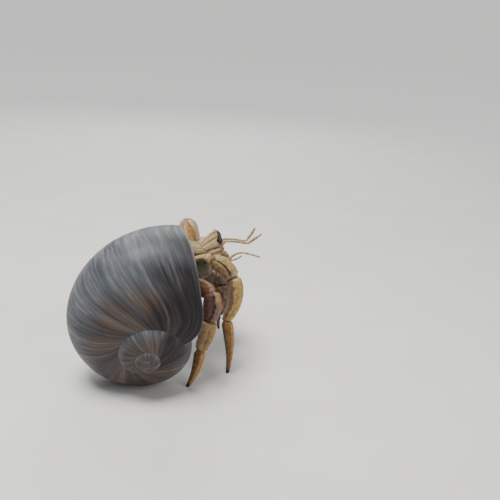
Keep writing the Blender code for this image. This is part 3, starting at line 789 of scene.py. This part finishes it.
def sprout(bm, verts, name, along, count, reach, slot, weigh=crustCover):
    # short bent bristles rooted at the piece's own points, each a small patch on the piece's unwrap
    part = bm.verts.layers.float_vector["part"]
    bm.normal_update()
    coat = bmesh.new()
    uv = coat.loops.layers.uv.new("OFBake")
    layer = coat.verts.layers.float_vector.new("part")
    made = 0
    while made < count:
        root = dice.choice(verts)
        x, y, t = root[part]
        if dice.random() > weigh(x, y, t):
            continue
        made += 1
        length = reach * dice.uniform(0.6, 1.25)
        drift = Vector((dice.uniform(-1, 1), dice.uniform(-1, 1), dice.uniform(-1, 1))) * bristle["drift"]
        out = (root.normal + along * bristle["lean"] + drift).normalized()
        bend = (out + along * 0.5).normalized()
        tip = root.co + (out + bend) * length * 0.5
        route = [root.co - root.normal * bristle["root"], root.co + out * length * 0.5, tip]
        thick = length * bristle["thick"] * dice.uniform(0.8, 1.2)
        halves = [Vector((thick, thick)) * k for k in bristle["taper"]]
        spike = growTube(coat, route, halves, out.orthogonal(), bristle["plan"], bristle["sides"])
        spot = Vector((math.atan2(y, x) / math.tau + 0.5, t))
        for face in facesOf(spike):
            for loop in face.loops:
                around, _, rise = loop.vert[layer]
                patch = (around * bristle["patch"][0], (rise - 0.5) * bristle["patch"][1])
                loop[uv].uv = spot + Vector(patch)
    finishPiece(name + "_bristles", coat, crabFrame, "bristle")


def bristleCover(side, up, along):
    return crustCover(side, up, along) * easeIn((0.9 - along) / 0.1)


def growCrust(name, tube, along, grains, bristles, slot, cover=crustCover, hairCover=crustCover):
    # a tube with grains and bristles; tube is its route, sizes, direction across, plan, sides and outline
    bm = startMesh()
    verts = growTube(bm, *tube)
    bmesh.ops.recalc_face_normals(bm, faces=bm.faces)
    raiseGrains(bm, verts, *grains, cover)
    sprout(bm, verts, name, along, *bristles, slot, hairCover)
    return bm


def addLimb(names, joints, sizes, bows, kinds, slot, rings, sides):
    bends = [(a + c) / 2 - b for a, b, c in zip(joints, joints[1:], joints[2:])]
    bend = sum(bends, Vector())
    for index, name in enumerate(names):
        start, end = joints[index], joints[index + 1]
        along = (end - start).normalized()
        up = -squareTo(bend, along)
        route = [start.lerp(end, t) + up * bows[index] * 4 * t * (1 - t) for t in (0, 0.25, 0.5, 0.75, 1)]
        halves = evenly(sizes[index] / 2, sizes[index + 1] / 2)
        toe = name.endswith("dactyl")
        shape = legs["shapes"].get(name, (1.0, 1.0, 1.0))
        outline = ridged(0.88, 0.06, 0.1 if toe else 0.2, shape, legs["grooves"].get(name, legs["groove"]))
        tube = (route, halves, up.cross(along), limbPlan(rings, toe), sides, outline)
        bm = growCrust(name, tube, along, legs["grains"], legs["bristles"], slot, hairCover=bristleCover)
        if not toe:
            addJoint(jointSkin, end - along * joint["back"], along, up, sizes[index + 1] * joint["share"])
        bmesh.ops.transform(bm, matrix=crabFrame, verts=bm.verts)
        if toe:
            cutFloor(bm)
        finishPiece(name + "_crust", bm, Matrix(), kinds[index], (name,))


def makeLegs():
    for name, spots in legs["joints"].items():
        joints = [Vector(spot) for spot in spots[:-1]]
        joints.append(Vector((*spots[-1], legs["toeLevel"])))
        scales = legs["stout"][1] if name == legs["stout"][0] else (1.0,) * 5
        sizes = [Vector(size) * scale for size, scale in zip(legs["sizes"], scales)]
        names = [name + "_" + part for part in legs["parts"]]
        bows = legs["bent"].get(name, legs["bows"])
        addLimb(names, joints, sizes, bows, legs["finishes"][name], "horn", legs["rings"], legs["sides"])


# the short first pieces of the limbs, between the body and the hip: start, end and half width
coxae = {
    "leg_2_right": ((-7.6, -2.4, -6.2), (-6.2, -5.9, -4.4), 2.1),
    "leg_2_left": ((-1.8, 2.4, -6.4), (0.0, 5.8, -4.0), 2.0),
    "leg_3_right": ((-10, -2.2, -9.2), (-8.2, -5.8, -8.5), 2.2),
    "leg_3_left": ((-4, 2.4, -9.0), (-3.0, 5.6, -7.8), 2.2),
    "claw_right": ((-4.4, -1.2, -10.0), (0.2, -3.6, -7.9), 1.9),
    "claw_left": ((-3.2, 1.3, -10.2), (1.0, 3.9, -8.4), 2.3),
}
coxaShape = {"deep": 1.15, "swell": (1.0, 1.05, 0.95, 0.9, 0.8), "rings": 36, "sides": 40}


def makeCoxae():
    for name, (start, end, size) in coxae.items():
        start, end = Vector(start), Vector(end)
        bm = startMesh()
        halves = [Vector((size, size * coxaShape["deep"])) * k for k in coxaShape["swell"]]
        across, plan = upward.cross(end - start), limbPlan(coxaShape["rings"])
        outline = ridged(0.9, 0.05, 0.12)
        verts = growTube(bm, evenly(start, end), halves, across, plan, coxaShape["sides"], outline)
        raiseGrains(bm, verts, *legs["grains"], crustCover)
        finish, slot = ("claw", "claw") if name.startswith("claw") else ("redMerus", "horn")
        finishPiece(name + "_coxa", bm, crabFrame, finish)


def addJoint(bm, spot, along, up, size):
    # a wrinkled ball of skin in the gap between two pieces
    side = up.cross(along)
    place = Matrix((side * size.x, up * size.y, along * size.x)).transposed().to_4x4()
    place.translation = spot
    around, rings = joint["segments"]
    ball = bmesh.ops.create_uvsphere(bm, u_segments=around, v_segments=rings, radius=1.0)["verts"]
    for vert in ball:
        vert.co *= 1 + joint["fold"] * math.sin(vert.co.z * joint["folds"])
    bmesh.ops.transform(bm, matrix=place, verts=ball)


makeLegs()
makeCoxae()
print("legs made")


def toothed(sign, start):
    # a boxy oval with blunt teeth along the edge that meets the other finger
    def outline(x, y, t):
        x, y = boxed(x, y, 0.92)
        if t > start:
            edge = easeIn((y * sign - 0.55) / 0.35)
            y += sign * edge * 0.3 * max(0.0, math.sin((t - start) * 46)) ** 1.5 * (1.1 - t)
        return x, y
    return outline


def clawCover(side, up, along):
    return easeIn(along / 0.1) * easeIn((1 - along) / 0.2)


def makeClaws():
    for name in ("claw_right", "claw_left"):
        shape = claws[name]
        side, unit = shape["side"], shape["scale"]
        mirror = Vector((1, side, 1))
        spots = [Vector(spot) * mirror for spot in shape["arm"]]
        palmEnd, tip = Vector(shape["palmEnd"]) * mirror, Vector(shape["tip"]) * mirror
        sizes = [Vector(size) * unit for size in claws["sizes"]]
        names = [name + "_arm", name + "_wrist"]
        rings, sides = claws["rings"], claws["sides"]
        addLimb(names, spots, sizes, claws["bows"], ("claw", "claw"), "claw", rings, sides)
        wrist = spots[-1]
        along = (palmEnd - wrist).normalized()
        front, outward = squareTo(forward, along), leftward * side
        palm = (
            (wrist, 1.1, 1.3), (wrist.lerp(palmEnd, 0.16) + front * 0.2, 1.7, 2.6),
            (wrist.lerp(palmEnd, 0.5) + front * 0.3, 2.0, 3.3),
            (wrist.lerp(palmEnd, 0.85) + (outward * 0.4 - front * 0.2) * unit, 1.9, 2.6),
            (palmEnd + (outward - front * 0.9) * unit, 1.15, 1.3),
            (palmEnd.lerp(tip, 0.5) + (outward * 1.1 - front * 0.9) * unit, 0.85, 0.9),
            (tip + (outward * 0.3 - front * 0.2) * unit, 0.35, 0.35),
        )
        finger = (
            (wrist.lerp(palmEnd, 0.72) + (front * 1.0 - outward * 0.5) * unit, 0.9, 1.0),
            (palmEnd + (front * 1.2 - outward * 0.9) * unit, 1.1, 1.25),
            (palmEnd.lerp(tip, 0.5) + (front * 1.2 - outward * 0.9) * unit, 0.85, 0.95),
            (tip + (front * 0.5 - outward * 0.1) * unit, 0.35, 0.35),
        )
        parts = (("hand", palm, toothed(1, 0.7)), ("finger", finger, toothed(-1, 0.2)))
        size, height = claws["grains"]
        for part, stations, teeth in parts:
            route = [station[0] for station in stations]
            halves = [Vector(station[1:]) * unit for station in stations]
            label = name + "_" + part
            tube = (route, halves, front.cross(along), evenPlan(rings * 2, 0.06, 0.08), sides, teeth)
            grains = (size * unit ** 0.5, height)
            bm = growCrust(label, tube, along, grains, claws["bristles"], "claw", clawCover, clawCover)
            finishPiece(label + "_crust", bm, crabFrame, "pincer", (label,))


makeClaws()
finishPiece("jointSkin", jointSkin, crabFrame, "joint")
print("claws made")

shield = {
    "rings": ((-13, 0.2, 5.6, 1), (-12, 0.4, 8.6, 2.2), (-6.5, 0.4, 10.2, 3.6), (-1.5, 0.1, 9.6, 3.2),
              (0.3, -0.3, 7.2, 2), (1, -0.5, 3.6, 1)),
    "groove": 0.3, "wrinkle": 0.07, "grains": (0.36, 0.08), "steps": 150, "sides": 128, "boxy": 0.85,
}


def rowsAlong(rows):
    # a tube's route and half sizes, from rows of x, z, width and depth
    route = [Vector((x, 0, z)) for x, z, _, _ in rows]
    return route, [Vector((width, depth)) / 2 for _, _, width, depth in rows]


def grooveDepth(place):
    # the curved groove across the shield, the long ones beside the middle, and fine wrinkles
    x, y, _ = place
    across = abs(x + 7.2 - 0.055 * y * y)
    sides = abs(abs(y) - 3.4 - 0.05 * (x + 6))
    depth = shield["groove"] * max(0.0, 1 - across / 0.7)
    depth += 0.6 * shield["groove"] * max(0.0, 1 - sides / 0.5)
    wrinkle = abs(noise.noise(Vector((x * 1.1, y * 0.35, 0.4)) * 1.6))
    return depth + shield["wrinkle"] * max(0.0, 1 - wrinkle * 7)


def makeShield():
    bm = startMesh()
    route, halves = rowsAlong(shield["rings"])
    plan = evenPlan(shield["steps"], 0.05, 0.08)
    verts = growTube(
        bm, route, halves, leftward, plan, shield["sides"], lambda x, y, t: boxed(x, y, shield["boxy"]))
    part = bm.verts.layers.float_vector["part"]
    for vert in verts:
        if vert[part].y > 0:
            vert.co.z -= grooveDepth(vert.co) * easeIn(vert[part].y / 0.3)
    raiseGrains(bm, verts, *shield["grains"], lambda x, y, t: 0.3 + 0.7 * easeIn(abs(x) / 0.9))
    finishPiece("frontShield", bm, crabFrame, "shield", ("shield",))


makeShield()

head = {
    "eyeSize": (1.25, 0.95, 1.85), "eyeSeat": 0.5, "eyeSegments": (64, 40), "collar": 0.3, "corner": 0.9,
    "steps": 70, "sides": 72, "grains": (0.4, 0.05), "bristles": (40, 0.28),
    "stalk": ((1.4, 3.0), (1.4, 3.2), (1.5, 3.6), (1.65, 4.0), (1.8, 4.3)),
    "eyes": {"right": ((-0.6, -1.7, 0.6), (3.5, -2.7, 3.6)), "left": ((-0.4, 1.7, 0.4), (4.3, 2.6, 3.3))},
}


def stalkOutline(x, y, t):
    # flat and deep, with a ridge along the top and a groove below it
    x, y = boxed(x, y, 0.75, 0.9)
    return x * (1 - 0.22 * math.exp(-((y - 0.6) / 0.13) ** 2) * (1 - easeIn((t - 0.8) / 0.2))), y


def makeEyes():
    for side, (root, top) in head["eyes"].items():
        root, top = Vector(root), Vector(top)
        along = (top - root).normalized()
        across = squareTo(leftward, along)
        up = along.cross(across)
        bm = startMesh()
        route = evenly(root, top + along * head["collar"])
        halves = [Vector(size) / 2 for size in head["stalk"]]
        plan = [(0.0, 0.3), (0.0, 0.8)] + [(k / head["steps"], 1.0) for k in range(head["steps"])]
        plan += [(1.0, 0.98), (1.008, 0.93), (1.004, 0.87), (0.97, 0.84), (0.9, 0.7), (0.9, 0.2)]
        verts = growTube(bm, route, halves, across, plan, head["sides"], stalkOutline)
        part = bm.verts.layers.float_vector["part"]
        for vert in verts:
            _, y, t = vert[part]
            vert.co += along * head["corner"] * easeIn((t - 0.6) / 0.4) * (easeIn(y) - 0.5 * easeIn(-y))
        bmesh.ops.recalc_face_normals(bm, faces=bm.faces)
        raiseGrains(bm, verts, *head["grains"], crustCover)
        sprout(bm, verts, "eyestalk_" + side, along, *head["bristles"], "horn")
        finishPiece("eyestalkCrust_" + side, bm, crabFrame, "stalk", ("eyestalk_" + side,))
        bm = startMesh()
        place = Matrix((along * head["eyeSize"][0], across * head["eyeSize"][1], up * head["eyeSize"][2]))
        place = place.transposed().to_4x4()
        place.translation = top + along * head["eyeSeat"]
        around, rings = head["eyeSegments"]
        bmesh.ops.create_uvsphere(bm, u_segments=around, v_segments=rings, radius=1.0, matrix=place)
        finishPiece("eyeball_" + side, bm, crabFrame, "eye", ("eye_" + side,))


makeEyes()
print("shield and eyes made")

# the stout pieces that carry the outer feelers, and the pointed scale beside them
peduncles = {
    "outer": (((0.4, 2.9, -1.6), 2.4, 2.6), ((2.6, 3.1, -0.7), 2.6, 2.9), ((5.3, 3.1, 0.6), 2.3, 2.6)),
    "middle": (((4.9, 3.2, -0.1), 1.9, 2.1), ((6.0, 3.3, -1.0), 2.0, 2.1), ((7.0, 3.4, -1.8), 1.6, 1.7)),
    "scale": (((1.4, 4.0, -1.9), 1.3, 1.5), ((3.2, 4.4, -0.9), 1.3, 1.3), ((5.0, 4.5, 0.0), 0.4, 0.5)),
}
peduncleCrust = {"rings": 44, "sides": 40, "grains": (0.36, 0.07), "bristles": (36, 0.4)}


def makePeduncles():
    for side, name in ((-1, "right"), (1, "left")):
        for label, stations in peduncles.items():
            route = [Vector(spot) * Vector((1, side, 1)) for spot, _, _ in stations]
            halves = [Vector(size) / 2 for _, *size in stations]
            along = (route[-1] - route[0]).normalized()
            piece = label + "Peduncle_" + name
            plan = limbPlan(peduncleCrust["rings"], label == "scale")
            tube = (route, halves, leftward, plan, peduncleCrust["sides"], ridged(0.88, 0.05, 0.1))
            bm = growCrust(piece, tube, along, peduncleCrust["grains"], peduncleCrust["bristles"], "horn")
            finishPiece(piece, bm, crabFrame, "peduncle")


makePeduncles()

feelers = {
    "rings": 120, "sides": 24,
    "antennule": (((0.9, 0.9, -1.6), 1.5), ((3.6, 1, -0.4), 1.5), ((6, 1.1, 2.2), 1.05),
                  ((6.8, 1.1, 2.7), 0.8), ((10.2, 1.2, 2.5), 0.66), ((13.4, 1.2, 1.9), 0.66)),
    "antennuleTip_left": (((14.3, 1.3, 2.4), 0.75), ((15.8, 1.5, 4.4), 0.95), ((16.8, 1.6, 6.1), 0.45)),
    "antennuleTip_right": (((14.4, -1.3, 2.3), 0.75), ((16.3, -1.6, 3.8), 0.95), ((18.1, -1.8, 5.1), 0.45)),
    "antenna_right": ((0.8, -2.8, -4.1), (3.4, -3.1, -3.3), (6.4, -3.5, -2.2), (7.8, -3.6, -1.6),
                      (9.4, -3.8, -0.6), (11.4, -4.1, -0.1), (14, -4.9, -0.5), (16.8, -6, -1.2)),
    "antenna_left": ((0.8, 2.8, -4.1), (3.3, 3, -3.8), (5.6, 3.4, -3.6), (7, 3.5, -4), (8.6, 3.5, -5),
                     (10.2, 3.4, -5.3), (11.8, 3.2, -4.8), (13.4, 3, -3.7)),
    "antennaSizes": (2.2, 2.7, 2.2, 1.3, 0.72, 0.64, 0.6, 0.56),
    "mouthpart": (((0.2, 1.5, -5.4), 1.6), ((2.4, 1.6, -5.9), 1.9), ((3.6, 1.5, -7.4), 1.7),
                  ((3.4, 1.4, -9.4), 1.3), ((2.6, 1.3, -10.6), 0.8)),
    "leg_4": (((-10.8, 3.2, -3.2), 1.6), ((-10.6, 4.6, -2.4), 1.6), ((-10, 5.2, -1.8), 1.3),
              ((-9.2, 5.4, -1.2), 1.1), ((-8.4, 5.3, -0.7), 0.7)),
}


def addFeeler(name, route, sizes, flatness, finish, slot, node, hairs=()):
    # flatness is the share of the size across and up; the grains ring the thin whip's joints
    bm = startMesh()
    rings = feelers["rings"]
    route = [Vector(spot) for spot in route]
    halves = [Vector(flatness) * size / 2 for size in sizes]
    verts = growTube(bm, route, halves, leftward, evenPlan(rings, 0.03, 0.05), feelers["sides"])
    part, grain = bm.verts.layers.float_vector["part"], bm.verts.layers.float["grain"]
    for vert in verts:
        thin = easeIn((vert[part].z - 0.42) / 0.1)
        vert[grain] = max(0.0, math.sin(vert[part].z * rings * 0.55)) ** 2 * thin
    if hairs:
        bmesh.ops.recalc_face_normals(bm, faces=bm.faces)
        along = (route[-1] - route[0]).normalized()
        sprout(bm, verts, name, along, *hairs, slot, lambda x, y, t: 0.2 + 0.8 * t)
    finishPiece(name, bm, crabFrame, finish, (node,))


def makeFeelers():
    for side, name in ((-1, "right"), (1, "left")):
        mirror = Vector((1, side, 1))
        for kind, label, flat, finish, slot, hairs in (
            ("antennule", "innerFeeler_", (1, 1), "feeler", "horn", ()),
            ("mouthpart", "mouthLimb_", (0.72, 1), "claw", "claw", (130, 0.6)),
            ("leg_4", "smallLeg_", (1, 1.2), "redMerus", "horn", (70, 0.5)),
        ):
            tip = feelers.get(kind + "Tip_" + name, ())
            route = [Vector(spot) * mirror for spot, _ in feelers[kind]] + [Vector(spot) for spot, _ in tip]
            sizes = [size for _, size in (*feelers[kind], *tip)]
            addFeeler(label + name, route, sizes, flat, finish, slot, kind + "_" + name, hairs)
        node = "antenna_" + name
        sizes = feelers["antennaSizes"]
        addFeeler("outerFeeler_" + name, feelers[node], sizes, (1, 1), "feeler", "horn", node)


makeFeelers()
print("feelers and mouthparts made")

skin = {
    "thorax": ((-16.5, -2.8, 4, 4), (-15, -3.2, 7.6, 6.6), (-9, -4.8, 10.4, 8.4), (-3, -5.4, 10, 8),
               (0, -5, 8.4, 6.4), (1.2, -4.6, 5.2, 4)),
    "abdomen": ((-1, 14.8, 33, 3.4), (-2, 14.9, 32.4, 4.6), (-3, 15, 31.5, 5.2), (-5, 15.2, 30, 5.3),
                (-7, 15.2, 29, 5.2), (-9, 15, 28, 5), (-11, 14.8, 27.5, 4.5), (-13, 14.6, 27, 3.8),
                (-15, 14.4, 27, 2.8), (-16, 14.2, 27, 1.6)),
    "sleeve": ((1.6, 1.9), (1.6, 1.9), (1.35, 1.7), (1.0, 1.3)),
    "inset": 0.15, "rings": (40, 60, 14), "sides": 48,
    "grid": 0.00032, "softening": 8, "fold": 0.0002, "folds": (900, 300, 300),
}


def growBody():
    # the soft body, from the mouth to the end of the abdomen, with a sleeve at each hip
    bm = startMesh()
    rings, sides = skin["rings"], skin["sides"]
    inset = Vector((skin["inset"], skin["inset"]))
    route, halves = rowsAlong(skin["thorax"])
    halves = [half - inset for half in halves]
    growTube(bm, route, halves, leftward, evenPlan(rings[0], 0.05, 0.08), sides)
    toCrab = crabFrame.inverted() @ shellFrame
    route = []
    for step, radius, height, _ in skin["abdomen"]:
        angle = math.radians(shell["lipTurn"] - step * 12)
        spot = Vector((radius * math.cos(angle), radius * math.sin(angle), -height))
        route.append(toCrab @ (spot * shell["ratio"] ** (step / 30)))
    halves = [Vector((size, size)) - inset for *_, size in skin["abdomen"]]
    growTube(bm, route, halves, toCrab.to_3x3() @ upward, evenPlan(rings[1], 0.06, 0.06), sides)
    halves = [Vector(size) for size in skin["sleeve"]]
    for hip, knee, *_ in legs["joints"].values():
        hip, knee = Vector(hip), Vector(knee)
        start = Vector((hip.x, hip.y * 0.4, hip.z))
        sleeve = [start, start.lerp(hip, 0.5), hip, hip + (knee - hip).normalized()]
        growTube(bm, sleeve, halves, forward, evenPlan(rings[2], 0.1, 0.15), sides // 2)
    bmesh.ops.recalc_face_normals(bm, faces=bm.faces)
    bmesh.ops.transform(bm, matrix=crabFrame, verts=bm.verts)
    return bm


def joined(bm):
    # overlapping tubes run together into one smooth skin
    body = addToScene("roughSkin", meshFrom("roughSkin", bm))
    remesh = body.modifiers.new("join", "REMESH")
    remesh.mode = "VOXEL"
    remesh.voxel_size = skin["grid"]
    smooth = body.modifiers.new("soften", "SMOOTH")
    smooth.iterations = skin["softening"]
    mesh = bpy.data.meshes.new_from_object(body.evaluated_get(bpy.context.evaluated_depsgraph_get()))
    bpy.data.objects.remove(body, do_unlink=True)
    bm = bmesh.new()
    bm.from_mesh(mesh)
    bpy.data.meshes.remove(mesh)
    return bm


def makeSkin():
    bm = joined(growBody())
    bm.normal_update()
    for vert in bm.verts:
        crease = abs(noise.noise(vert.co * Vector(skin["folds"])))
        vert.co -= vert.normal * skin["fold"] * max(0.0, 1 - crease * 5)
    finishPiece("softBody", bm, Matrix(), "flesh", ("thorax", "abdomen"))


makeSkin()
print("skin made")


# floor, camera and lights: the camera's place is in millimetres, the rest in metres; the far floor
# bends up a little and glows, so that its tone holds where the lights fade

studio = {
    "spot": (-57.136, -191.408, 108.683), "turn": (70.49, -3.282, -23.03), "lens": 50.0,
    "sky": (0.9, 0.93, 1.0, 1.0), "skyStrength": 0.24, "aim": (0, 0, 0.02),
    # each light's place, size and watts
    "lights": {
        "keyLight": ((-0.1, -0.02, 0.42), 0.2, 3.4),
        "fillLight": ((0.3, -0.32, 0.22), 0.4, 1.15),
        "rimLight": ((0.12, 0.36, 0.3), 0.3, 1.2),
    },
    "floor": 6.0, "cells": 24, "bendFrom": 2.0, "bend": 0.025, "glowFrom": 0.12, "glowTo": 0.75,
    "tones": [(0.3, (0.6, 0.585, 0.56)), (0.7, (0.64, 0.625, 0.6))], "glow": (0.62, 0.608, 0.59),
}


def makeFloor():
    bm = bmesh.new()
    bmesh.ops.create_grid(bm, x_segments=studio["cells"], y_segments=studio["cells"], size=studio["floor"])
    for vert in bm.verts:
        vert.co.z = studio["bend"] * max(0.0, vert.co.xy.length - studio["bendFrom"]) ** 2
    finish = Finish("paleFloor", 0.85, Emission_Strength=1.0)
    place = finish.objectPlace()
    far = finish.node("VectorMath", {0: place}, "Value", operation="LENGTH")
    far = far.over(studio["glowFrom"], studio["glowTo"])
    finish.set(Base_Color=finish.ramp(finish.noise(place, 40.0), studio["tones"]))
    finish.set(Emission_Color=finish.mix((0.0, 0.0, 0.0), studio["glow"], far))
    floor = addToScene("floor", meshFrom("floor", bm))
    floor.data.materials.append(finish.material)


def makeView():
    data = bpy.data.cameras.new("camera")
    data.lens = studio["lens"]
    data.clip_start = 0.01
    camera = addToScene("camera", data)
    camera.location = Vector(studio["spot"]) * 0.001
    camera.rotation_euler = [math.radians(angle) for angle in studio["turn"]]
    bpy.context.scene.camera = camera
    world = bpy.data.worlds.new("studio")
    world.use_nodes = True
    world.node_tree.nodes["Background"].inputs["Color"].default_value = studio["sky"]
    world.node_tree.nodes["Background"].inputs["Strength"].default_value = studio["skyStrength"]
    bpy.context.scene.world = world
    for name, (spot, size, watts) in studio["lights"].items():
        data = bpy.data.lights.new(name, "AREA")
        data.size = size
        data.energy = watts
        light = addToScene(name, data)
        light.location = spot
        light.rotation_euler = (Vector(studio["aim"]) - Vector(spot)).to_track_quat("-Z", "Y").to_euler()


makeFloor()
makeView()
print("studio made")
